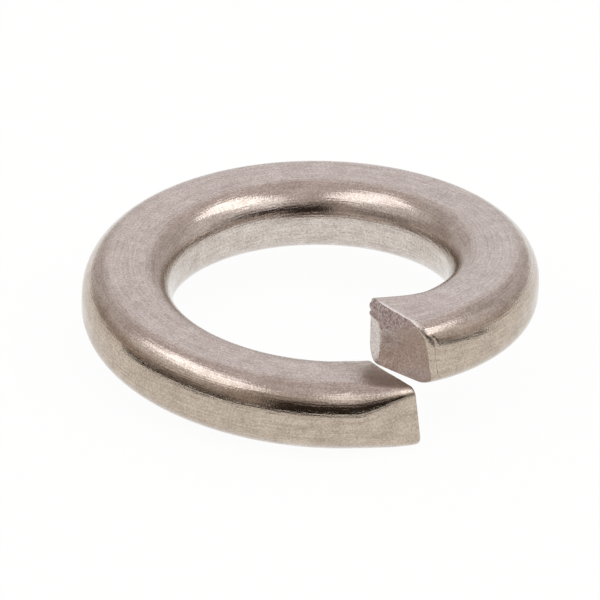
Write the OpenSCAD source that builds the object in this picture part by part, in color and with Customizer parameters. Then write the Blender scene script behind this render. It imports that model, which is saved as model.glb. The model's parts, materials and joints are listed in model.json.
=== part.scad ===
// Split spring lock washer for a 16 mm bolt.
// One length of rolled wire, wound one turn into a left-hand helix and sheared off at a slant.
// The bore runs along Z, and the lowest edge of the lower end is at Z = 0.

/* [Ring] */
// Diameter of the bore, which clears the bolt
bore_d = 16.2; // [15.4:0.1:17.4]
// Outside diameter of the ring
outer_d = 26.8; // [24.4:0.1:29]
// Thickness of the wire along the bore
thickness = 4.25; // [3:0.05:5]
// How far the raised end stands above the lower end when the washer is free
end_rise = 3.75; // [1.5:0.05:5]

/* [Wire section] */
// Radius of the rounded corners of the wire
corner_r = 1.6; // [0.6:0.05:1.8]
// How far the two upper corners reach down the walls
shoulder_drop = 2; // [0.6:0.05:2.1]
// Length of wire over which the corners sharpen towards the raised end
sharpen_len = 4.5; // [2:0.1:8]
// The same length at the lower end
sharpen_len_lower = 3.2; // [2:0.1:8]

/* [Corners at the raised end] */
// Radius of the outer upper corner
raised_outer_top_r = 1.35; // [0.3:0.05:1.6]
// Radius of the inner upper corner
raised_inner_top_r = 0.75; // [0.3:0.05:1.6]
// Radius of the inner lower corner
raised_inner_under_r = 1.2; // [0.3:0.05:1.6]
// Radius of the outer lower corner
raised_outer_under_r = 1.1; // [0.3:0.05:1.6]

/* [Corners at the lower end] */
// Radius of the two upper corners
lower_top_r = 0.5; // [0.3:0.05:1.6]
// Radius of the two lower corners
lower_under_r = 0.9; // [0.3:0.05:1.6]

/* [Split] */
// Direction of the split, counter-clockwise from +X seen from above
split_angle = -62.05; // [-180:0.05:180]
// Opening between the two sheared faces, at the middle of the wire
split_gap = 0.24; // [0.2:0.01:2]
// Turn of the shear line away from the radius at the raised end, seen from above
shear_skew = 14.7; // [0:0.1:20]
// Turn of the shear line at the lower end, which the blade bent as it left
shear_skew_lower = 10.5; // [0:0.1:20]
// Lean of the shear away from the vertical, at the bore
shear_lean_inner = 1; // [0:0.1:16]
// Lean of the shear away from the vertical, at the outside
shear_lean_outer = 9; // [0:0.1:16]

/* [Sheared edges] */
// Length of wire over which the edges turn over into the sheared face
roll_len = 0.6; // [0.3:0.05:1.2]
// Depth of the turned-over edge on the side of the bore, at the raised end
roll_inner = 0.3; // [0:0.01:0.5]
// Depth of the turned-over edge on the side of the bore, at the lower end
roll_inner_lower = 0.04; // [0:0.01:0.5]
// Depth of the turned-over edge on the outside
roll_outer = 0.08; // [0:0.01:0.5]
// Depth of the turned-over edge on top
roll_top = 0.06; // [0:0.01:0.5]
// Depth of the turned-over edge underneath
roll_under = 0.06; // [0:0.01:0.5]
// Sinking of the side that the shear pressed: above on the lower end, underneath on the raised one
pressed_side = 0.25; // [0:0.01:0.5]
// Tip of the blade: it pressed deeper at the bore on the lower end, and outside on the raised one
pressed_tip = 0.65; // [0:0.01:1]
// Sinking of the other side of each end
slack_side = 0.12; // [0:0.01:0.5]
// Bulge of each sheared face, halfway between the bore and the outside
face_crown = 0.05; // [0:0.01:0.06]
// Length of the torn lip on the inner top corner of the raised end
torn_lip = 0.1; // [0:0.01:0.4]

/* [Hidden] */
bore_r = bore_d / 2;
outer_r = outer_d / 2;
wire_w = outer_r - bore_r;
mid_r = (outer_r + bore_r) / 2;
turn_len = 2 * PI * mid_r;

// Height of the middle of the wire at its lowest, so that the lower end's underside is at Z = 0
base_z = thickness / 2 - slack_side;

// The swept wire is a little too wide, and two true cylinders trim its walls
spare = 0.03;
trim_h = thickness + end_rise + 2;

// Corners as [across, up] from the outer lower one, counter-clockwise; the flats between them stay
corner_max = 0.45 * min(wire_w, thickness);
coil_r = min(corner_r, corner_max);
coil_drop = min(shoulder_drop, 0.95 * thickness - coil_r);
coil_corners = [[coil_r, coil_r], [coil_r, coil_drop], [coil_r, coil_drop], [coil_r, coil_r]];
raised_corners = [
    for (r = [raised_outer_under_r, raised_outer_top_r, raised_inner_top_r, raised_inner_under_r])
        [1, 1] * min(r, corner_max)
];
lower_corners = [
    for (r = [lower_under_r, lower_top_r, lower_top_r, lower_under_r])
        [1, 1] * min(r, corner_max)
];
corner_points = 6;

coil_step = 3;
coil_rings = ceil(360 / coil_step);
roll_rings = 6;
sharpen_rings = 6;
side_n = 180;

// Eases from 0 to 1 as t goes from 0 to 1
function ease(t) = let (c = max(0, min(1, t))) c * c * (3 - 2 * c);

// How far an edge has turned over, from 0 in the coil to 1 at the sheared face
function turned(from_end) = let (t = max(0, 1 - from_end / roll_len)) 1 - sqrt(1 - t * t);

// One rounded corner of the section, a quarter turn in the quadrant given by the signs in side
function corner(size, side, from) = [
    for (k = [0 : corner_points - 1])
        let (a = from + 90 * k / (corner_points - 1))
        [
            side[0] * (wire_w / 2 + spare - size[0]) + size[0] * cos(a),
            side[1] * (thickness / 2 - size[1]) + size[1] * sin(a)
        ]
];

// The whole rounded section as points [across, up] from the middle of the wire
function section(corners) = concat(
    corner(corners[0], [1, -1], -90),
    corner(corners[1], [1, 1], 0),
    corner(corners[2], [-1, 1], 90),
    corner(corners[3], [-1, -1], 180)
);

// Moves a value towards 0, by one depth on its negative side and another on its positive side
function draw_in(value, half, below, above, share) =
    value * (1 - share * (value < 0 ? below : above) / half);

// Section point after the edges have turned over
function rolled(p, share, raised) = [
    draw_in(p[0], wire_w / 2, raised ? roll_inner : roll_inner_lower, roll_outer, share),
    draw_in(p[1], thickness / 2, roll_under, roll_top, share)
];

// Section point after the shear has pressed the end of the wire thinner
function pressed(p, share, raised) =
    let (
        tip = pressed_tip * 2 * p[0] / wire_w,
        deep = pressed_side * (raised ? 1 + tip : 1 - tip)
    )
    [
        p[0],
        draw_in(
            p[1], thickness / 2,
            raised ? deep : slack_side,
            raised ? slack_side : deep,
            share
        )
    ];

// Lean of the sheared face at radius r
function shear_lean(r) =
    shear_lean_inner + (shear_lean_outer - shear_lean_inner) * (r - bore_r) / wire_w;

// Angle from the split at which the slanted shear crosses radius r at height z
function shear_angle(r, z, shift, skew) =
    let (
        off = shift - z * tan(shear_lean(r)),
        a = mid_r - off * sin(skew),
        b = off * cos(skew),
        along = a * cos(skew) + b * sin(skew),
        run = sqrt(along * along - a * a - b * b + r * r) - along
    )
    atan2(b + run * sin(skew), a + run * cos(skew));

// How strongly a section point belongs to the torn inner top corner
function torn(p) =
    let (
        across = (p[0] + wire_w / 2) / (0.3 * wire_w),
        down = (thickness / 2 - p[1]) / (0.3 * thickness)
    )
    max(0, 1 - across) * max(0, 1 - down);

// Place of section point p at share u of the way round, raised end first
function helix_point(p, u, lip) =
    let (
        r = mid_r + p[0],
        bulge = face_crown * max(0, 1 - pow(2 * p[0] / wire_w, 2)),
        first = shear_angle(r, p[1], split_gap / 2 - bulge - lip * torn(p), shear_skew),
        last = 360 + shear_angle(r, p[1], bulge - split_gap / 2, shear_skew_lower),
        turn = first + (last - first) * u,
        lift = end_rise * (1 - turn / 360) + base_z
    )
    [
        r * cos(split_angle + turn),
        r * sin(split_angle + turn),
        p[1] + lift
    ];

// One ring of points round the wire
function ring(u) =
    let (
        from_end = min(u, 1 - u) * turn_len,
        raised = u < 0.5,
        coil = ease(from_end / (raised ? sharpen_len : sharpen_len_lower)),
        end_corners = raised ? raised_corners : lower_corners,
        corners = end_corners + (coil_corners - end_corners) * coil,
        share = turned(from_end),
        lip = raised ? torn_lip * share : 0
    )
    [
        for (p = section(corners))
            helix_point(pressed(rolled(p, share, raised), 1 - coil, raised), u, lip)
    ];

// Stations along the wire: close together at an end, then evenly round the coil
longest_sharpen = max(sharpen_len, sharpen_len_lower);
end_stations = concat(
    [for (k = [0 : roll_rings - 1]) roll_len * pow(k / roll_rings, 2)],
    [for (k = [0 : sharpen_rings - 1]) roll_len + (longest_sharpen - roll_len) * k / sharpen_rings]
);
end_shares = [for (s = end_stations) s / turn_len];
coil_start = longest_sharpen / turn_len;
stations = concat(
    end_shares,
    [for (k = [0 : coil_rings]) coil_start + (1 - 2 * coil_start) * k / coil_rings],
    [for (k = [len(end_shares) - 1 : -1 : 0]) 1 - end_shares[k]]
);

// Skin of the swept wire: a strip between each two rings, and a fan over each sheared face
module swept_wire() {
    rings = [for (u = stations) ring(u)];
    n = len(rings[0]);
    m = len(rings);
    walls = [
        for (i = [0 : m - 2], j = [0 : n - 1])
            let (
                k = (j + 1) % n,
                a = i * n + j,
                b = i * n + k,
                c = (i + 1) * n + k,
                d = (i + 1) * n + j
            )
            each [[a, b, c], [a, c, d]]
    ];
    first_centre = m * n;
    last_centre = m * n + 1;
    first_face = [for (j = [0 : n - 1]) [first_centre, (j + 1) % n, j]];
    last_face = [
        for (j = [0 : n - 1])
            [last_centre, (m - 1) * n + j, (m - 1) * n + (j + 1) % n]
    ];
    polyhedron(
        points = concat(
            [for (points = rings) each points],
            [helix_point([0, 0], 0, 0), helix_point([0, 0], 1, 0)]
        ),
        faces = concat(walls, first_face, last_face),
        convexity = 6
    );
}

module lock_washer() {
    color([0.75, 0.72, 0.69])
    difference() {
        intersection() {
            swept_wire();
            translate([0, 0, -1])
                cylinder(h = trim_h, r = outer_r, $fn = side_n);
        }
        translate([0, 0, -1.5])
            cylinder(h = trim_h + 1, r = bore_r, $fn = side_n);
    }
}

lock_washer();
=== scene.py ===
# %% [markdown]
# # A split spring lock washer
#
# The real object is one short length of stainless steel wire. A mill rolls the wire to a
# rounded rectangle, a coiler winds it one turn round an arbor, and a slanted shear cuts the
# turn off. So there is one piece to model and one metal to make, and everything that the
# eye reads comes from three things: how the rounded edges turn the light, how the shear
# tore and rolled the two ends, and how fine the grain of the tumbled metal is.
#
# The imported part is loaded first. It fixes the size and the place of everything here.

# %% Load the frame
import json
import math

import bpy
import numpy as np
from mathutils import Matrix, Vector, noise


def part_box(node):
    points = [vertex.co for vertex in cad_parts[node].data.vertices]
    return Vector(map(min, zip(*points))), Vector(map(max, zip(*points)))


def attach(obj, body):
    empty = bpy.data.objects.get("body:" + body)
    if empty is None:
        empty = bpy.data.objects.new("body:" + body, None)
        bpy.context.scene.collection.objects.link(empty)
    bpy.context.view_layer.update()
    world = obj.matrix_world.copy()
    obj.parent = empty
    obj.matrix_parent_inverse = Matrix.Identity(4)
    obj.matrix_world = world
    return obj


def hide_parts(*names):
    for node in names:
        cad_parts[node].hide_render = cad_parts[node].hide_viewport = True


MM = 0.001

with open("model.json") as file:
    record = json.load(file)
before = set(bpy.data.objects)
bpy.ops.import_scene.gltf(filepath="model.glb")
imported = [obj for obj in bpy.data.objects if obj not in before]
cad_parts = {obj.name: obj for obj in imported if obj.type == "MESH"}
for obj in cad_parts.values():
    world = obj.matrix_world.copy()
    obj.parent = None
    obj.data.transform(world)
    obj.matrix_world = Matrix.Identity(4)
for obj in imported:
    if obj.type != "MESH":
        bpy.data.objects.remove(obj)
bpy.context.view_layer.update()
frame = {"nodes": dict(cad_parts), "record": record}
scene = bpy.context.scene
print("nodes:", sorted(frame["nodes"]))

# %% [markdown]
# ## The sizes
#
# A size that the frame holds is read from it, so that the piece can't drift from the part:
# the bore from the record's mount, and the outside diameter from the box of the node. The
# rest of the wire's sizes are repeated here, under the names that the part's source gives
# them. All of them are millimetres, and are turned to metres only when the mesh is written.

# %% Sizes of the ring, in millimetres
NODE = "lock_washer"

low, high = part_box(NODE)
bore_r = next(m["dims"]["r_mm"] for m in frame["record"]["mounts"] if m["name"] == "bore")
outer_r = (high.x - low.x) / MM / 2
wire_w = outer_r - bore_r
mid_r = (outer_r + bore_r) / 2
turn_len = 2 * math.pi * mid_r

thickness = 4.25
end_rise = 3.75  # how far the raised end stands above the lower one
slack_side = 0.12  # how far the ends are thinned on the side that the shear didn't press
base_z = thickness / 2 - slack_side

print(f"bore radius {bore_r:.2f} mm, outside radius {outer_r:.2f} mm")
print(f"wire {wire_w:.2f} x {thickness} mm, one turn of it is {turn_len:.1f} mm long")

# %% Sizes of the split
split_angle = math.radians(-62.05)  # direction of the split, counter-clockwise from X
split_gap = 0.24
face_crown = 0.05  # bulge of each sheared face, halfway between bore and outside

# Turn of each cut away from the radius, and lean away from the vertical
skew_raised = math.radians(14.7)
skew_lower = math.radians(10.5)
lean_inner = math.radians(1.0)
lean_outer = math.radians(9.0)

covered = 360 - math.degrees(split_gap / mid_r)
print("the wire covers", round(covered, 1), "degrees at its middle")

# %% [markdown]
# ## The rolled section
#
# Rolled wire has no sharp edge: four round corners join four flats. A profile curve swept
# with a bevel object would give this, but its corners couldn't sharpen towards the ends, as
# they do here where the shear squeezed the wire. So the section is a function of its corner
# sizes, and every ring of the mesh asks for its own.

# %% Section of the wire
ARC_POINTS = 16
FLAT_POINTS = 24

# Size of each corner as (across, up), from the outer lower one by way of the outer upper
# and the inner upper to the inner lower one
COIL_CORNERS = np.array([(1.6, 1.6), (1.6, 2.0), (1.85, 2.1), (1.6, 1.6)])
RAISED_CORNERS = np.array([(1.1, 1.1), (1.35, 1.35), (0.75, 0.75), (0.95, 0.95)])
LOWER_CORNERS = np.array([(0.9, 0.9), (0.5, 0.5), (0.5, 0.5), (0.9, 0.9)])


def corner_arc(size, side, start):
    """Points of one rounded corner, a quarter turn, in the quadrant that side names."""
    turn = math.radians(start) + np.linspace(0, math.pi / 2, ARC_POINTS)
    centre = side * (np.array((wire_w, thickness)) / 2 - size)
    return centre + size * np.column_stack((np.cos(turn), np.sin(turn)))


def wire_section(corners):
    """Closed section as [across, up] from the middle of the wire."""
    sides = np.array([(1, -1), (1, 1), (-1, 1), (-1, -1)])
    arcs = [corner_arc(corners[k], sides[k], 90 * k - 90) for k in range(4)]
    rows = []
    for arc, following in zip(arcs, arcs[1:] + arcs[:1]):
        share = np.linspace(0, 1, FLAT_POINTS + 2)[1:-1, None]
        rows += [arc, arc[-1] + (following[0] - arc[-1]) * share]
    return np.vstack(rows)


around = len(wire_section(COIL_CORNERS))
print("points round the wire:", around)

# %% [markdown]
# ## The helix and the slanted shear
#
# Each point of the wire has three numbers: how far across, how far up, and how far round.
# The shear isn't square to the wire. Seen from above it is turned away from the radius, and
# it leans a little more at the outside than at the bore. The angle at which the shear
# crosses each thread of the wire is worked out first, and the threads are then spread
# evenly between their own two ends. That keeps the rings parallel to the cut near the
# ends, so the torn edge can be modelled with the same rings.

# %% Where the shear crosses a thread of the wire
def shear_angle(r, up, shift, skew):
    """Angle from the split at which the shear, moved along by shift, crosses radius r."""
    lean = lean_inner + (lean_outer - lean_inner) * (r - bore_r) / wire_w
    off = shift - up * np.tan(lean)
    a = mid_r - off * math.sin(skew)
    b = off * math.cos(skew)
    along = a * math.cos(skew) + b * math.sin(skew)
    run = np.sqrt(along**2 - a**2 - b**2 + r**2) - along
    return np.arctan2(b + run * math.sin(skew), a + run * math.cos(skew))


def helix(points, u, sunk_first=0.0, sunk_last=0.0):
    """Section points at share u of the turn; sunk pulls a thread's end in from the cut."""
    r = mid_r + points[:, 0]
    crown = face_crown * np.maximum(0, 1 - (2 * points[:, 0] / wire_w) ** 2)
    half = split_gap / 2 - crown
    first = shear_angle(r, points[:, 1], half + sunk_first, skew_raised)
    last = 2 * math.pi + shear_angle(r, points[:, 1], -half - sunk_last, skew_lower)
    turn = first + (last - first) * u
    z = points[:, 1] + end_rise * (1 - turn / (2 * math.pi)) + base_z
    angle = split_angle + turn
    return np.column_stack((r * np.cos(angle), r * np.sin(angle), z))


ends_at = [helix(np.zeros((1, 2)), u)[0].round(2).tolist() for u in (0, 1)]
print("middle of the raised and the lower face, mm:", ends_at)

# %% [markdown]
# ## What the shear left behind
#
# A sheared face has zones. Where the blade went in, the edge rolled over. Then comes a
# smooth facet, and where the metal let go there is a rough torn band with a lip. The raised
# end was pressed from underneath and tore at its top, and the lower end the other way
# round. A bump map could fake the tear, but its edge shows against the light as an outline,
# and no bump map changes that. These are real shapes a few tenths of a millimetre deep, so
# they are in the mesh.

# %% Helpers for relief
TEAR_SEED = Vector((3.1, 7.7, 1.9))  # the place in the endless noise that the tear uses
BEVEL_ROUND = 1.35  # 1 is a flat bevel, more is a rounder one


def fade(value, start, end):
    """0 where value is at start or before it, 1 at end or past it, and smooth between."""
    t = np.clip((value - start) / (end - start), 0, 1)
    return t * t * (3 - 2 * t)


def bevel(distance, width, depth):
    """Depth of a nearly flat bevel that is deepest at distance 0 and ends at its width."""
    return depth * (1 - np.clip(distance / width, 0, 1)) ** BEVEL_ROUND


def grain(points, pitch, octaves):
    """Repeatable noise from -1 to 1 over the face, with its largest lumps one pitch wide."""
    values = []
    for across, up in points:
        place = Vector((across / pitch, up / pitch, 0)) + TEAR_SEED
        values.append(noise.fractal(place, 1.0, 2.0, octaves))
    return np.array(values)


print("halfway across, a bevel has", round(float(bevel(0.5, 1.0, 1.0)), 2), "of its depth")

# %% How torn a face is
# Width of the torn band, in mm, at shares of the way from the bore to the outside
TEAR_AT = (0, 0.2, 0.36, 0.66, 0.85, 1)
TEAR_WIDTH = (1.30, 1.52, 1.50, 0.70, 0.28, 0.0)
TEAR_WANDER = 0.16  # how far its edge wanders, as a share of the width
TEAR_WANDER_PITCH = 0.8
TEAR_SOFT = 0.30  # distance over which the facet turns into torn metal
TORN_LUMPS = ((0.055, 0.34, 4), (0.02, 0.12, 2))  # depth, pitch and octaves of the noise


def torn_share(points, tear_side):
    """1 inside the torn band, 0 on the smooth facet; tear_side is 1 at the top, -1 below."""
    from_tear = thickness / 2 - tear_side * points[:, 1]
    width = np.interp(points[:, 0] / wire_w + 0.5, TEAR_AT, TEAR_WIDTH)
    wavy = width * (1 + TEAR_WANDER * grain(points, TEAR_WANDER_PITCH, 2))
    inside = fade(wavy - from_tear, -TEAR_SOFT / 2, TEAR_SOFT / 2)
    return inside * fade(width, 0, TEAR_SOFT)


def torn_lumps(points):
    """Height of the lumps and crumbs of torn metal, in millimetres."""
    return sum(depth * grain(points, pitch, octaves) for depth, pitch, octaves in TORN_LUMPS)


share = torn_share(wire_section(RAISED_CORNERS), 1).mean()
print(f"{share:.0%} of the raised end's outline is torn")

# %% [markdown]
# The raised face isn't flat. It is folded along a blunt ridge near the bore, falls away on
# both sides of it, and carries a small shelf where the torn band begins. The lower face
# hides from the camera, and needs only a bevel at the bore, its torn band, and the part that
# reaches across the slit. Both functions give how far a point lies below the plane of the
# cut, so a shape that stands out is taken off and one that sinks in is added.

# %% Relief of the raised face
RIDGE_AT = 1.25  # distance of the ridge from the bore
RIDGE_ROUND = 0.06  # how blunt it is
RIDGE_PROUD = 0.05
BORE_SLOPE = 0.13  # half of what the face falls away for each millimetre towards the bore
OUTER_SLOPE = 0.026  # the same towards the outside
TORN_LEVELS = 0.5  # how much of the bore slope the tear took away
TORN_SUNK = 0.02
BORE_PART = (1.69, 0.39)  # the part near the bore, from where it starts to where it is full
BORE_PART_SUNK = 0.06
SHELF_AT, SHELF_HALF, SHELF_PROUD = 1.42, 0.13, 0.11  # the distance is from the top
FOOT_BEVEL = (0.6, 0.10)  # width and depth, along the lower edge
LIP_LEN, LIP_PROUD = 0.45, 0.04  # how far from the bore the lip reaches
LIP_WAVE, LIP_WAVE_AT = 0.6, 0.3  # length of its waves, and place of the first from the top


def raised_relief(points):
    """How far each point of the raised face lies below the plane of the cut, in mm."""
    from_bore = points[:, 0] + wire_w / 2
    from_top = thickness / 2 - points[:, 1]
    torn = torn_share(points, 1)

    past_ridge = from_bore - RIDGE_AT
    fold = np.sqrt(past_ridge**2 + RIDGE_ROUND**2)
    to_bore = BORE_SLOPE * (fold - past_ridge)
    to_outside = OUTER_SLOPE * (fold + past_ridge)
    sunk = to_bore * (1 - TORN_LEVELS * torn) + to_outside - RIDGE_PROUD
    sunk += torn * (TORN_SUNK + torn_lumps(points))

    near_bore = fade(from_bore, *BORE_PART)
    sunk += BORE_PART_SUNK * torn * near_bore
    sunk -= SHELF_PROUD * np.exp(-(((from_top - SHELF_AT) / SHELF_HALF) ** 2)) * near_bore
    sunk -= bevel(thickness - from_top, *FOOT_BEVEL)

    lip = np.exp(-((from_bore / LIP_LEN) ** 2)) * torn
    wave = np.cos(2 * math.pi * (from_top - LIP_WAVE_AT) / LIP_WAVE)
    return sunk - lip * LIP_PROUD * wave


sample = raised_relief(wire_section(RAISED_CORNERS))
print(f"edge of the raised face: {sample.min():.2f} to {sample.max():.2f} mm below the cut")

# %% Relief of the lower face
BORE_BEVEL = (0.3, 0.03)
LOWER_TORN_SUNK = 0.05
REACH, REACH_WIDE = 0.17, 2.4  # how far it reaches across the slit, and how wide that is


def lower_relief(points):
    """How far each point of the lower face lies below the plane of the cut, in mm."""
    from_bore = points[:, 0] + wire_w / 2
    torn_off = torn_share(points, -1) * (LOWER_TORN_SUNK + torn_lumps(points))
    return bevel(from_bore, *BORE_BEVEL) + torn_off - REACH * fade(from_bore, REACH_WIDE, 0)


sample = lower_relief(wire_section(LOWER_CORNERS))
print(f"edge of the lower face: {sample.min():.2f} to {sample.max():.2f} mm below the cut")

# %% [markdown]
# ## The wire near its two ends
#
# The shear squeezed the wire before it cut. Towards both ends the corners sharpen and the
# wire gets thinner, more at one side than at the other. Right at the cut the edges are
# rolled over. The raised end's outer top corner is folded down as well, beside a shallow
# chamfer and a crease on the wall, and its top edge carries a thin burr, whose bright line
# is a painted highlight in the steel's colour. A sculpt brush could push these in by hand.
# Written as small moves of the section they stay measured, and each can be changed without
# touching the others.

# %% Edges rolled over at both cuts
# Length of the roll, its depth at all edges, and its depth on the side of the bore
ROLL_RAISED = (0.3, 0.03, 0.18)
ROLL_LOWER = (0.2, 0.03, 0.03)
RIM_LEN, RIM_DEPTH = 0.14, 0.11  # the outer edge is rolled over once more


def rounded_end(from_end, length):
    """1 at the cut and 0 from length on, along a quarter of a circle."""
    return 1 - math.sqrt(1 - max(0.0, 1 - from_end / length) ** 2)


def draw_in(value, half, below, above, share):
    """Moves value towards 0, by one depth where it is negative and another where not."""
    return value * (1 - share * np.where(value < 0, below, above) / half)


def roll_edges(points, from_end, raised):
    """Rolls the edges of the section over, the nearer it is to the cut the more."""
    length, edge, bore_edge = ROLL_RAISED if raised else ROLL_LOWER
    roll = rounded_end(from_end, length)
    points[:, 0] = draw_in(points[:, 0], wire_w / 2, bore_edge, edge, roll)
    points[:, 1] = draw_in(points[:, 1], thickness / 2, edge, edge, roll)
    rim = rounded_end(from_end, RIM_LEN)
    points[:, 0] -= RIM_DEPTH * rim * fade(points[:, 0], 0, wire_w / 2)


print("the edges roll over in the last", ROLL_RAISED[0], "and", ROLL_LOWER[0], "mm of wire")

# %% Chamfer, crease, fold and burr of the raised end
CHAMFER_LEN, CHAMFER_DEPTH = 0.4, 0.14
CREASE_AT, CREASE_HALF, CREASE_DEPTH = 0.45, 0.09, 0.17
ON_WALL = (-0.3, -0.05)  # from the outer wall, where the chamfer starts and where it is full
UP_WALL = (-2.1, -0.5)  # the same from the middle of the wire
FOLD_LEN, FOLD_DEPTH = 0.42, 0.182  # the depth is both inwards and down
FOLD_CENTRE = (0, -0.3)  # from the sharp outer top corner of the section
FOLD_NEAR = (1.75, 0.35)  # from its centre, where the fold starts and where it is full
BURR_LEN, BURR_HEIGHT = 0.22, 0.06
BURR_TOP = (-0.5, -0.2)  # from the top
BURR_OUTER = (-0.5, -1.0)  # from the outer wall
BURR_INNER = (0.9, 1.6)  # from the bore


def on_burr(points):
    """1 along the top edge, where the shear threw up a thin burr, and 0 elsewhere."""
    on_top = fade(points[:, 1] - thickness / 2, *BURR_TOP)
    off_wall = fade(points[:, 0] - wire_w / 2, *BURR_OUTER)
    return on_top * off_wall * fade(points[:, 0] + wire_w / 2, *BURR_INNER)


def shape_raised_end(points, from_end):
    """Cuts the chamfer, folds the corner and raises the burr of the raised end."""
    chamfer = CHAMFER_DEPTH * max(0.0, 1 - from_end / CHAMFER_LEN)
    chamfer += CREASE_DEPTH * math.exp(-(((from_end - CREASE_AT) / CREASE_HALF) ** 2))
    on_wall = fade(points[:, 0] - wire_w / 2, *ON_WALL) * fade(points[:, 1], *UP_WALL)
    points[:, 0] -= chamfer * on_wall

    centre = np.array((wire_w, thickness)) / 2 + FOLD_CENTRE
    near = fade(np.linalg.norm(points - centre, axis=1), *FOLD_NEAR)
    points -= FOLD_DEPTH * rounded_end(from_end, FOLD_LEN) * near[:, None]
    points[:, 1] += BURR_HEIGHT * max(0.0, 1 - from_end / BURR_LEN) * on_burr(points)


print("the crease is", CREASE_DEPTH, "mm deep and the burr", BURR_HEIGHT, "mm high")

# %% The section at any place along the wire
SHARPEN_RAISED = 4.5
SHARPEN_LOWER = 3.2
# Length, depth at the middle of the wire, and what is added to it at the outside and taken
# off at the bore
PRESSED_RAISED = (4.5, 0.105, 0.165)
PRESSED_LOWER = (3.1, 0.35, -0.29)
TOP_ROOM = 0.047  # room for the burr under the top of the solid's box
FOOT_ROOM = 0.012  # room under the lower end, which keeps it inside the box as well


def press(points, from_end, raised):
    """Thins the wire towards its end, deep on the side that the shear pressed."""
    length, middle, tip = PRESSED_RAISED if raised else PRESSED_LOWER
    deep = middle + tip * 2 * points[:, 0] / wire_w
    if raised:
        below, above = deep, slack_side + TOP_ROOM
    else:
        below, above = slack_side + FOOT_ROOM, deep
    near_end = fade(from_end, length, 0)
    points[:, 1] = draw_in(points[:, 1], thickness / 2, below, above, near_end)


def coil_section(u):
    """The section at share u of the turn: plain in the coil, and shaped near the ends."""
    raised = u < 0.5
    from_end = min(u, 1 - u) * turn_len
    ends, length = (
        (RAISED_CORNERS, SHARPEN_RAISED) if raised else (LOWER_CORNERS, SHARPEN_LOWER)
    )
    points = wire_section(ends + (COIL_CORNERS - ends) * fade(from_end, 0, length))
    roll_edges(points, from_end, raised)
    if raised:
        shape_raised_end(points, from_end)
    press(points, from_end, raised)
    return points


first_edge = coil_section(0.0)
last_edge = coil_section(1.0)
heights = [round(float(np.ptp(edge[:, 1])), 2) for edge in (first_edge, last_edge)]
print("thickness at the raised and the lower cut, mm:", heights)

# %% [markdown]
# ## One skin over wire and ends
#
# The mesh is rings joined by quads. Along the coil they are about a degree apart, and at
# the ends they crowd together, where the corners sharpen and the wire is pressed thinner.
# Each sheared face is more rings: the last outline again and again, each smaller than the
# one before, down to one point in the middle. The relief then moves them along the wire.

# %% Rings along the coil
COIL_RINGS = 340
END_RINGS = 72
END_CROWDING = 1.9  # 1 is evenly spaced, more puts the rings closer to the cut
RELIEF_LEN = 1.2  # length of wire over which the relief of a face dies out

end_part = SHARPEN_RAISED / turn_len * (np.arange(END_RINGS) / END_RINGS) ** END_CROWDING
coil_part = np.linspace(end_part[-1], 1 - end_part[-1], COIL_RINGS + 2)[1:-1]
shares = np.concatenate((end_part, coil_part, 1 - end_part[::-1]))

first_sunk = raised_relief(first_edge)
last_sunk = lower_relief(last_edge)
relief_part = RELIEF_LEN / turn_len
wire_rings = []
for u in shares:
    near_first = max(0.0, 1 - u / relief_part) ** 2
    near_last = max(0.0, 1 - (1 - u) / relief_part) ** 2
    wire_rings.append(helix(coil_section(u), u, first_sunk * near_first, last_sunk * near_last))
print("rings along the wire:", len(wire_rings))

# %% Rings over the two sheared faces
FACE_RINGS = 44
FACE_CROWDING = 1.25  # 1 is evenly spaced, more puts the rings closer to the edge


def face_point_rows(edge):
    """The outline of a face again and again, smaller and smaller, and then its middle."""
    rows = [edge * (1 - (k / FACE_RINGS) ** FACE_CROWDING) for k in range(1, FACE_RINGS)]
    return rows + [np.zeros((1, 2))]


first_rows = face_point_rows(first_edge)
last_rows = face_point_rows(last_edge)
*first_rings, first_middle = [
    helix(row, 0.0, sunk_first=raised_relief(row)) for row in first_rows
]
*last_rings, last_middle = [
    helix(row, 1.0, sunk_last=lower_relief(row)) for row in last_rows
]
print("rings over each sheared face:", len(first_rings))

# %% Join the rings into one closed mesh
all_rings = first_rings[::-1] + wire_rings + last_rings
ring_count = len(all_rings)
vertices = np.vstack(all_rings + [first_middle, last_middle]) * MM
first_tip = ring_count * around
last_tip = first_tip + 1
last_ring = (ring_count - 1) * around

faces = []
for i in range(0, last_ring, around):
    for j in range(around):
        k = (j + 1) % around
        faces.append((i + k, i + j, i + around + j, i + around + k))
for j in range(around):
    k = (j + 1) % around
    faces.append((first_tip, j, k))
    faces.append((last_tip, last_ring + k, last_ring + j))

mesh = bpy.data.meshes.new("coiled_wire")
mesh.from_pydata(vertices.tolist(), [], faces)
mesh.validate()
mesh.shade_smooth()
washer = bpy.data.objects.new("coiled_wire", mesh)
scene.collection.objects.link(washer)
print("faces:", len(mesh.polygons))

# %% [markdown]
# ## Coordinates that follow the wire
#
# Drawn and rolled wire carries fine lines along its length. A texture that uses the object's
# own X, Y and Z would draw them straight, so the mesh gets a UV map that is measured along
# the wire and round it, both in millimetres. Four more values per point say where the metal
# is torn, where it is flat, where it is the outer wall, and where it is the burr.

# %% Coordinates along and round the wire
front_rings = len(first_rings)
along_mm = np.concatenate((
    np.zeros(front_rings),
    shares * turn_len,
    np.full(len(last_rings), turn_len),
))
outline = wire_section(COIL_CORNERS)
steps = np.linalg.norm(np.diff(np.vstack((outline, outline[:1])), axis=0), axis=1)
round_mm = np.concatenate(([0], np.cumsum(steps)))

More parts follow.
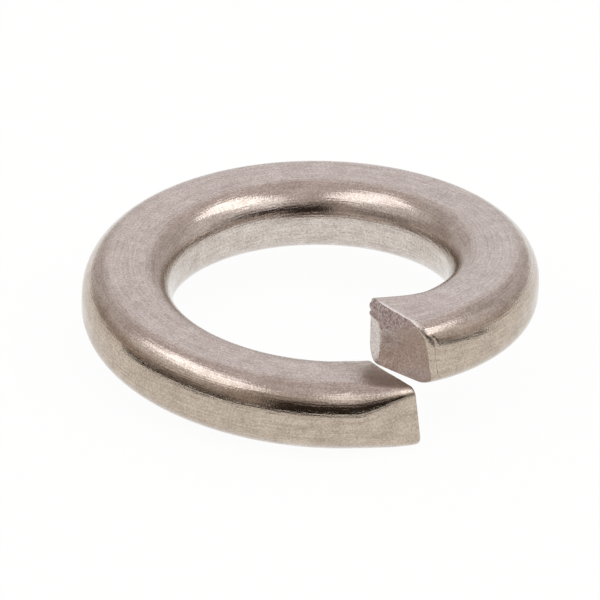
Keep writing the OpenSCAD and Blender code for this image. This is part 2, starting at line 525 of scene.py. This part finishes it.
uv = mesh.uv_layers.new(name="wire_mm")
for face in mesh.polygons:
    corners = list(face.loop_indices)
    columns = [mesh.loops[c].vertex_index % around for c in corners]
    wraps = max(columns) - min(columns) > around / 2
    for c, column in zip(corners, columns):
        ring = min(mesh.loops[c].vertex_index // around, ring_count - 1)
        place = round_mm[around] if wraps and column == 0 else round_mm[column]
        uv.data[c].uv = (along_mm[ring], place)
print(f"the wire is {round_mm[-1]:.1f} mm round")

# %% Where the metal is torn, flat, outer wall or burr
SHEARED_TONE = 0.32  # how much of the torn look the smooth facet has
FLAT_EDGE = (-0.22, 0)  # from the top, where the flat starts and where it is full
WALL_EDGE = (-0.7, -0.1)  # the same from the outer wall
BURR_HIGHLIGHT_REACH = (1.5, 0.5)  # the same from the cut, in lengths of the burr, for the painted highlight on the burr

flatness = fade(outline[:, 1] - thickness / 2, *FLAT_EDGE)
wire_part = slice(front_rings, front_rings + len(wire_rings))
on_rings = {
    name: np.zeros((ring_count, around)) for name in ("torn", "flat_top", "outer_wall", "burr")
}
on_rings["flat_top"][wire_part] = flatness
on_rings["outer_wall"][wire_part] = (
    fade(outline[:, 0] - wire_w / 2, *WALL_EDGE) * (1 - flatness)
)
# The burr's share is also where its painted highlight goes, strongest at the cut
for k, u in enumerate(shares[:END_RINGS]):
    share = fade(u * turn_len / BURR_LEN, *BURR_HIGHLIGHT_REACH)
    on_rings["burr"][front_rings + k] = share * on_burr(first_edge)
for rows, first_ring, step, tear_side in (
    (first_rows, front_rings - 1, -1, 1),
    (last_rows, wire_part.stop, 1, -1),
):
    for k, row in enumerate(rows[:-1]):
        share = torn_share(row, tear_side)
        on_rings["torn"][first_ring + k * step] = SHEARED_TONE + (1 - SHEARED_TONE) * share

for name, rows in on_rings.items():
    tip = SHEARED_TONE if name == "torn" else 0.0
    layer = mesh.attributes.new(name, "FLOAT", "POINT")
    layer.data.foreach_set("value", np.append(rows, (tip, tip)))
    print(f"{name}: {rows.mean():.0%} of the points on average")

# %% [markdown]
# ## Tumbled stainless steel
#
# The metal is austenitic stainless steel, cold rolled and then tumbled to take the worst of
# the sharpness off. Rolling leaves faint lines along the wire, and tumbling leaves an
# orange-peel grain that breaks every highlight into sparkles, and a flat top that is duller
# than the round edges. What the eye gets is a soft warm sheen, neither mirror nor matt. A
# metal takes all its colour from its base colour, so that is a warm pale grey, and the rest
# of the look is roughness and relief. A photograph of steel could be wrapped round the wire,
# but noise that is measured in millimetres keeps its size on every face and shows no seam.

# %% Small helpers for materials
def linear(hex_colour):
    """An sRGB hex colour as the linear values that the shader takes, with full alpha."""
    parts = [int(hex_colour[i:i + 2], 16) / 255 for i in (1, 3, 5)]
    return (*(c / 12.92 if c <= 0.04045 else ((c + 0.055) / 1.055) ** 2.4 for c in parts), 1.0)


def add(tree, kind, inputs=None, **settings):
    """Adds a node with its settings; an input is a value, or the socket that is linked to it."""
    node = tree.nodes.new(kind)
    for name, value in settings.items():
        setattr(node, name, value)
    for name, value in (inputs or {}).items():
        if isinstance(value, bpy.types.NodeSocket):
            tree.links.new(value, node.inputs[name])
        else:
            node.inputs[name].default_value = value
    return node


print("middle grey in linear light:", [round(c, 3) for c in linear("#808080")])

# %% [markdown]
# The real grain and lines are a few hundredths of a millimetre wide, and a pixel of this
# picture covers 0.06 mm. They are drawn a few times as coarse, at about a tenth of a
# millimetre, which is just wide enough to show as sparkle. The slow mottle, where the
# tumbling stones rubbed more or less, has its real size, and so have the torn crumbs.

# %% Patterns of the steel, made once for the whole wire
GRAIN_PITCH = 0.12
CRUMB_PITCH = 0.13
MOTTLE_PITCH = 0.9
LINE_WIDTH = 0.12
LINE_LENGTH = 3.0

steel = bpy.data.materials.new("tumbled_stainless_steel")
steel.use_nodes = True
tree = steel.node_tree
tree.nodes.clear()

torn, flat_top, outer_wall, burr = (
    add(tree, "ShaderNodeAttribute", attribute_name=name).outputs["Fac"] for name in on_rings
)
coords = add(tree, "ShaderNodeTexCoord")
in_mm = add(
    tree, "ShaderNodeVectorMath", {0: coords.outputs["Object"], "Scale": 1 / MM},
    operation="SCALE",
)
uv_mm = add(tree, "ShaderNodeUVMap", uv_map="wire_mm")
along_wire = add(
    tree, "ShaderNodeVectorMath",
    {0: uv_mm.outputs["UV"], 1: (1 / LINE_LENGTH, 1 / LINE_WIDTH, 1)},
    operation="MULTIPLY",
)
# What each noise is laid on, its scale, its detail and the strength of that detail
peel, mottle, crumbs, lines = (
    add(
        tree, "ShaderNodeTexNoise",
        {"Vector": vector, "Scale": scale, "Detail": detail, "Roughness": roughness},
    ).outputs["Fac"]
    for vector, scale, detail, roughness in (
        (in_mm.outputs[0], 1 / GRAIN_PITCH, 2.5, 0.6),
        (in_mm.outputs[0], 1 / MOTTLE_PITCH, 3.0, 0.55),
        (in_mm.outputs[0], 1 / CRUMB_PITCH, 2.0, 0.6),
        (along_wire.outputs[0], 1.0, 3.0, 0.6),
    )
)
print("grain", GRAIN_PITCH, "mm, lines", LINE_WIDTH, "mm wide and", LINE_LENGTH, "mm long")

# %% Tones of the steel and of its torn parts
PALE_STEEL = "#ddd5cd"
DULL_STEEL = "#b1a69e"
TORN_STEEL = "#e3d4d3"
TORN_PITS = "#a99a97"
LINES_SHARE = 1.5  # how much the lines count against the mottle
GRAIN_SHARE = 2.4  # how much the grain counts against it
DULL_AT, PALE_AT = 1.96, 2.98  # sums of the three at which the steel is dull and pale
PIT_AT, CRUMB_AT = 0.42, 0.56
COLOUR_A, COLOUR_B, MIXED = 6, 7, 2  # the colour sockets of a Mix node

streak = add(
    tree, "ShaderNodeMath", {0: lines, 1: LINES_SHARE, 2: mottle}, operation="MULTIPLY_ADD",
)
speck = add(
    tree, "ShaderNodeMath", {0: peel, 1: GRAIN_SHARE, 2: streak.outputs[0]},
    operation="MULTIPLY_ADD",
)
tone, pits = (
    add(tree, "ShaderNodeMapRange", {"Value": value, "From Min": start, "From Max": end})
    for value, start, end in (
        (speck.outputs[0], DULL_AT, PALE_AT),
        (crumbs, PIT_AT, CRUMB_AT),
    )
)
plain, torn_colour = (
    add(
        tree, "ShaderNodeMix",
        {"Factor": share.outputs["Result"], COLOUR_A: linear(dark), COLOUR_B: linear(pale)},
        data_type="RGBA",
    ).outputs[MIXED]
    for share, dark, pale in ((tone, DULL_STEEL, PALE_STEEL), (pits, TORN_PITS, TORN_STEEL))
)
print("steel from", DULL_STEEL, "to", PALE_STEEL)

# %% Wall, burr and torn metal over the plain steel
WALL_STEEL = "#ece5da"  # a warm tint multiplied over the outer wall, which makes it warmer and darker than the rest
BURR_PAINTED_HIGHLIGHT = "#fbf8f5"  # painted highlight: nearly white, standing in for the light that the burr's edge catches

# The burr's coat is a painted highlight, not a colour that the steel has
colour = plain
for share, over, blending in (
    (outer_wall, linear(WALL_STEEL), "MULTIPLY"),
    (burr, linear(BURR_PAINTED_HIGHLIGHT), "MIX"),
    (torn, torn_colour, "MIX"),
):
    layer = add(
        tree, "ShaderNodeMix", {"Factor": share, COLOUR_A: colour, COLOUR_B: over},
        data_type="RGBA", blend_type=blending,
    )
    colour = layer.outputs[MIXED]
print("coats over the plain steel: wall, burr and torn metal")

# %% [markdown]
# Polished steel starts at a roughness near 0.1 and blasted steel at 0.4 to 0.5. This metal
# is between them: smooth where the stones could roll over an edge, duller on the flat top,
# and rough where it tore. The default IOR stays, as for every metal. The grain and the lines
# are bumps here, because they are far too shallow to change the outline.

# %% Roughness and relief of the steel, and its shader
SMOOTH_ROUGH = 0.09
FLAT_ROUGH = 0.14  # added on the flat top
TORN_ROUGH = 0.45  # added where it is torn
PEEL_DEPTH = 0.009
PEEL_DEPTH_FLAT = 0.028
LINE_DEPTH = 0.012

rough = SMOOTH_ROUGH
for share, added in ((flat_top, FLAT_ROUGH), (torn, TORN_ROUGH)):
    rougher = add(
        tree, "ShaderNodeMath", {0: share, 1: added, 2: rough}, operation="MULTIPLY_ADD",
    )
    rough = rougher.outputs[0]

peel_height = add(
    tree, "ShaderNodeMapRange",
    {"Value": flat_top, "To Min": PEEL_DEPTH * MM, "To Max": PEEL_DEPTH_FLAT * MM},
)
peel_bump = add(
    tree, "ShaderNodeBump",
    {"Height": peel, "Distance": peel_height.outputs["Result"], "Strength": 1.0},
)
line_bump = add(
    tree, "ShaderNodeBump",
    {
        "Height": lines, "Normal": peel_bump.outputs[0],
        "Distance": LINE_DEPTH * MM, "Strength": 1.0,
    },
)
shader = add(
    tree, "ShaderNodeBsdfPrincipled",
    {
        "Base Color": colour, "Roughness": rough, "Normal": line_bump.outputs[0],
        "Metallic": 1.0,
    },
)
add(tree, "ShaderNodeOutputMaterial", {"Surface": shader.outputs[0]})
mesh.materials.append(steel)
print("roughness", SMOOTH_ROUGH, "on round edges,", SMOOTH_ROUGH + FLAT_ROUGH, "on the flat")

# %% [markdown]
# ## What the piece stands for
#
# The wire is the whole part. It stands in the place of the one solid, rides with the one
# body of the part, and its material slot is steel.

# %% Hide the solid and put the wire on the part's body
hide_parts(NODE)
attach(washer, "root")
print("the wire stands for", NODE)

# %% [markdown]
# ## Floor
#
# The washer lies on a sweep of uncoated white paper, which gives the eye an even, matt
# white without any edge or shine. Paper that is only lit goes grey away from the lights, so
# the camera and the metal see it as a pale glow, and a small share of plain white paper
# stays in it to catch the soft shadow.

# %% White floor
FLOOR_HALF = 3000  # mm, out to where the camera sees no edge
FLOOR_DROP = 0.02  # mm below the lower end, so that the two never share a plane

floor_mesh = bpy.data.meshes.new("floor")
floor_corners = [
    (x * FLOOR_HALF * MM, y * FLOOR_HALF * MM, 0) for x, y in ((-1, -1), (1, -1), (1, 1), (-1, 1))
]
floor_mesh.from_pydata(floor_corners, [], [(0, 1, 2, 3)])
floor = bpy.data.objects.new("floor", floor_mesh)
floor.location.z = low.z - FLOOR_DROP * MM
scene.collection.objects.link(floor)
print("floor at", round(floor.location.z / MM, 3), "mm")

# %% White paper
SHADOW_SHARE = 0.07
PAPER_GLOW = 1.02
PAPER_WHITE = "#f3f3f3"
GLOW_WHITE = "#ffffff"

paper = bpy.data.materials.new("white_paper_sweep")
paper.use_nodes = True
tree = paper.node_tree
tree.nodes.clear()

path = add(tree, "ShaderNodeLightPath")
seen = path.outputs["Is Camera Ray"]
for ray in ("Is Glossy Ray", "Is Transmission Ray"):
    either = add(tree, "ShaderNodeMath", {0: seen, 1: path.outputs[ray]}, operation="MAXIMUM")
    seen = either.outputs[0]
share = add(tree, "ShaderNodeMath", {0: seen, 1: 1 - SHADOW_SHARE}, operation="MULTIPLY")
matt = add(tree, "ShaderNodeBsdfDiffuse", {"Color": linear(PAPER_WHITE)})
pale = add(tree, "ShaderNodeEmission", {"Color": linear(GLOW_WHITE), "Strength": PAPER_GLOW})
both = add(
    tree, "ShaderNodeMixShader", {0: share.outputs[0], 1: matt.outputs[0], 2: pale.outputs[0]},
)
add(tree, "ShaderNodeOutputMaterial", {"Surface": both.outputs[0]})
floor_mesh.materials.append(paper)
print(f"{SHADOW_SHARE:.0%} of the paper is left for shadows")

# %% [markdown]
# ## Surroundings
#
# Polished metal shows its surroundings, so they are half of the picture. The room is a soft
# grey that is warmer and darker on the left. A bright narrow strip stands behind, with a
# wider and softer one round it, and both sides glow a little way up: they draw the light
# along the shoulders. The air low in front is dark, which draws the dark line along the near
# shoulder, and a dim patch at the far left rounds the ring off there. A picture of a real
# studio could be wrapped round instead, but then nothing in it could be moved or measured.
#
# Each patch is a product of ramps. A ramp reads one direction, from -1 to 1, and goes
# smoothly from its least value to 1. The patches are then laid over each other like coats.

# %% Directions that the ramps read
GLOW_TIP = 0.17  # how much lower the glow reaches on the right
DARK_TIP = 0.13  # how much lower the dark air ends for each step of 1 to the right

world = bpy.data.worlds.new("studio")
scene.world = world
world.use_nodes = True
tree = world.node_tree
tree.nodes.clear()

where = add(tree, "ShaderNodeTexCoord")
split = add(tree, "ShaderNodeSeparateXYZ", {0: where.outputs["Generated"]})
reads = {axis: split.outputs[axis] for axis in "XYZ"}
aside = add(tree, "ShaderNodeMath", {0: reads["X"]}, operation="ABSOLUTE")
reads["aside"] = aside.outputs[0]
rightness = add(
    tree, "ShaderNodeMapRange", {"Value": reads["X"]}, interpolation_type="SMOOTHSTEP",
)
for name, source, slope in (
    ("glow_height", rightness.outputs["Result"], GLOW_TIP),
    ("dark_height", reads["X"], DARK_TIP),
):
    tipped = add(
        tree, "ShaderNodeMath", {0: source, 1: slope, 2: reads["Z"]}, operation="MULTIPLY_ADD",
    )
    reads[name] = tipped.outputs[0]
print("the ramps read", ", ".join(reads))

# %% Ramps
# Name, what it reads, where it starts, where it is 1, and its least value
RAMPS = (
    ("at_back", "Y", 0.30, 0.62, 0),
    ("high_enough", "Z", 0.20, 0.50, 0.62),
    ("narrow", "aside", 0.42, 0, 0),
    ("broad", "aside", 0.80, 0.62, 0),
    ("lifted", "glow_height", 0.22, 0.48, 0),
    ("beside", "aside", 0.42, 0.78, 0),
    ("not_behind", "Y", 0.6, 0, 0.25),
    ("overhead", "Z", 0.60, 0.85, 0),
    ("in_front", "Y", 0.05, -0.35, 0),
    ("low_down", "dark_height", 0.52, 0.43, 0),
    ("straight_on", "aside", 1.25, 0.6, 0),
    ("off_left", "X", -0.42, -0.15, 0),
    ("near_floor", "Z", 0.34, 0.20, 0),
    ("far_left", "X", -0.40, -0.62, 0),
    ("to_right", "X", -0.2, 0.4, 0),
)

for name, source, start, full, least in RAMPS:
    ramp = add(
        tree, "ShaderNodeMapRange",
        {"Value": reads[source], "From Min": start, "From Max": full, "To Min": least},
        interpolation_type="SMOOTHSTEP",
    )
    reads[name] = ramp.outputs["Result"]
print(len(RAMPS), "ramps")

# %% Patches, each a product of ramps
# The far left counts twice in the dim patch, which makes that edge of it fall off faster
PATCHES = (
    ("glow", ("lifted", "beside", "not_behind")),
    ("wide", ("at_back", "broad")),
    ("behind", ("at_back", "high_enough", "narrow")),
    ("dim", ("in_front", "near_floor", "far_left", "far_left")),
    ("dark", ("in_front", "low_down", "straight_on", "off_left")),
)

for name, (first, *others) in PATCHES:
    reads[name] = reads[first]
    for other in others:
        product = add(
            tree, "ShaderNodeMath", {0: reads[name], 1: reads[other]}, operation="MULTIPLY",
        )
        reads[name] = product.outputs[0]
print("patches:", ", ".join(name for name, _ in PATCHES))

# %% Coats of the surroundings
LEFT_TONE = "#b3a69f"
DARK_TONE = "#3a322e"
BACK_TONE = "#fffaff"

# The patch or ramp where each coat lies, and its colour, from the lowest coat to the top
COATS = (
    ("to_right", "#bfb5b2"),
    ("glow", "#e6dedb"),
    ("wide", "#cdc4c1"),
    ("behind", BACK_TONE),
    ("dim", "#8f8580"),
    ("overhead", "#d6c9c6"),
    ("dark", DARK_TONE),
)

air = linear(LEFT_TONE)
for name, tone in COATS:
    coat = add(
        tree, "ShaderNodeMix",
        {"Factor": reads[name], COLOUR_A: air, COLOUR_B: linear(tone)},
        data_type="RGBA",
    )
    air = coat.outputs[MIXED]
sky = add(tree, "ShaderNodeBackground", {"Color": air, "Strength": 1.0})
add(tree, "ShaderNodeOutputWorld", {"Surface": sky.outputs[0]})
print("surroundings from", DARK_TONE, "in front to", BACK_TONE, "behind")

# %% [markdown]
# ## Lights
#
# Three long soft lights hang above the washer, one on the left, one on the right, and a
# weaker one on the right in front. A point light would give hard sparks on metal. A long
# area light is mirrored as a long band, and the roughness of the steel blurs its ends, so
# the band dies out along the shoulder. Each is given by what the washer sees of it, in
# degrees, so that it could hang nearer or farther and look the same.

# %% Three long soft lights above the washer
LIGHT_FAR = 600  # mm

# Name, tilt sideways and forward from overhead, width and length, radiance, and turn
LIGHTS = (
    ("soft_light_left", -32.5, 15, 27, 52, 1.05, 12),
    ("soft_light_right", 32.5, 5, 25, 38, 1.33, 0),
    ("soft_light_right_front", 25, 35, 24, 27, 0.66, 0),
)


def soft_light(name, sideways, forward, width, length, radiance, turn):
    """A long light that looks at the washer, turned in its own plane; angles in degrees."""
    tilt = math.radians(math.hypot(sideways, forward))
    heading = math.atan2(sideways, forward)
    toward = Vector((
        math.sin(tilt) * math.sin(heading), -math.sin(tilt) * math.cos(heading), math.cos(tilt),
    ))
    across = Vector((0, 1, 0)).cross(toward).normalized()
    across.rotate(Matrix.Rotation(math.radians(turn), 3, toward))
    far = LIGHT_FAR * MM
    data = bpy.data.lights.new(name, "AREA")
    data.shape = "RECTANGLE"
    data.size = 2 * far * math.tan(math.radians(width / 2))
    data.size_y = 2 * far * math.tan(math.radians(length / 2))
    data.energy = radiance * math.pi * data.size * data.size_y
    lamp = bpy.data.objects.new(name, data)
    facing = Matrix((across, toward.cross(across), toward)).transposed()
    lamp.matrix_world = Matrix.Translation(toward * far) @ facing.to_4x4()
    scene.collection.objects.link(lamp)
    return lamp


for row in LIGHTS:
    lamp = soft_light(*row)
    print(lamp.name, "gives", round(lamp.data.energy, 2), "W")

# %% [markdown]
# ## Black card
#
# Photographers of polished metal stand a low black card just outside the picture. The round
# edges of the wire mirror it as one dark line, which shows how round they are. Here the card
# is a strip on the floor in front of the washer, bent round it so that every stretch of the
# near edge faces it squarely. The camera doesn't see it, and it throws no shadow. It is
# uncoated board, dyed through, which gives the eye a flat and slightly warm black.

# %% Low black card in front
CARD_FAR = 42  # mm from the axis of the washer
CARD_HIGH = 4.5  # mm
CARD_HALF_ANGLE = 85  # degrees that it reaches round to each side
CARD_STEP = 5

card_rows = []
for degrees in range(-CARD_HALF_ANGLE, CARD_HALF_ANGLE + 1, CARD_STEP):
    a = math.radians(degrees)
    x, y = CARD_FAR * MM * math.sin(a), -CARD_FAR * MM * math.cos(a)
    card_rows += [(x, y, floor.location.z), (x, y, CARD_HIGH * MM)]
card_mesh = bpy.data.meshes.new("black_card")
card_mesh.from_pydata(
    card_rows, [], [(k, k + 2, k + 3, k + 1) for k in range(0, len(card_rows) - 2, 2)],
)
card = bpy.data.objects.new("black_card", card_mesh)
card.visible_camera = False
card.visible_shadow = False
card.visible_diffuse = False
scene.collection.objects.link(card)
print("card", CARD_HIGH, "mm high,", CARD_FAR, "mm from the axis")

# %% Matt black card
BLACK_CARD = "#2a2522"

black = bpy.data.materials.new("matt_black_card")
black.use_nodes = True
tree = black.node_tree
tree.nodes.clear()
matt = add(tree, "ShaderNodeBsdfDiffuse", {"Color": linear(BLACK_CARD)})
add(tree, "ShaderNodeOutputMaterial", {"Surface": matt.outputs[0]})
card_mesh.materials.append(black)
print("card colour in linear light:", [round(c, 3) for c in linear(BLACK_CARD)])

# %% [markdown]
# ## Camera
#
# The camera is far away with a long lens, as in most catalogue pictures of hardware: the
# near and the far side of the ring are almost the same size. It looks down at 28 degrees
# and is tipped a little to one side.

# %% Camera
VIEW_ELEVATION = math.radians(28.006)
VIEW_ROLL = math.radians(-2.574)
# Distance, and how far it is moved to the left and down, in outside diameters
VIEW_FAR = 15.8375
VIEW_LEFT = 0.02193
VIEW_DOWN = 0.02082
LENS, SENSOR = 433.4, 36
CLIP_NEAR, CLIP_FAR = 0.01, 20  # metres

outer_d = 2 * outer_r * MM
lens_data = bpy.data.cameras.new("camera")
lens_data.sensor_width = SENSOR
lens_data.lens = LENS
lens_data.clip_start = CLIP_NEAR
lens_data.clip_end = CLIP_FAR
camera = bpy.data.objects.new("camera", lens_data)
scene.collection.objects.link(camera)

back = Vector((0, -math.cos(VIEW_ELEVATION), math.sin(VIEW_ELEVATION)))
up = Vector((0, math.sin(VIEW_ELEVATION), math.cos(VIEW_ELEVATION)))
side = Vector((1, 0, 0))
cam_right = side * math.cos(VIEW_ROLL) - up * math.sin(VIEW_ROLL)
cam_up = side * math.sin(VIEW_ROLL) + up * math.cos(VIEW_ROLL)
target = Vector((0, 0, ((thickness + end_rise) / 2 - slack_side) * MM))
place = target + back * VIEW_FAR * outer_d
place -= (cam_right * VIEW_LEFT + cam_up * VIEW_DOWN) * outer_d
facing = Matrix((cam_right, cam_up, back)).transposed()
camera.matrix_world = Matrix.Translation(place) @ facing.to_4x4()
scene.camera = camera
scene.view_settings.view_transform = "Standard"
print("camera at", [round(v, 4) for v in place])
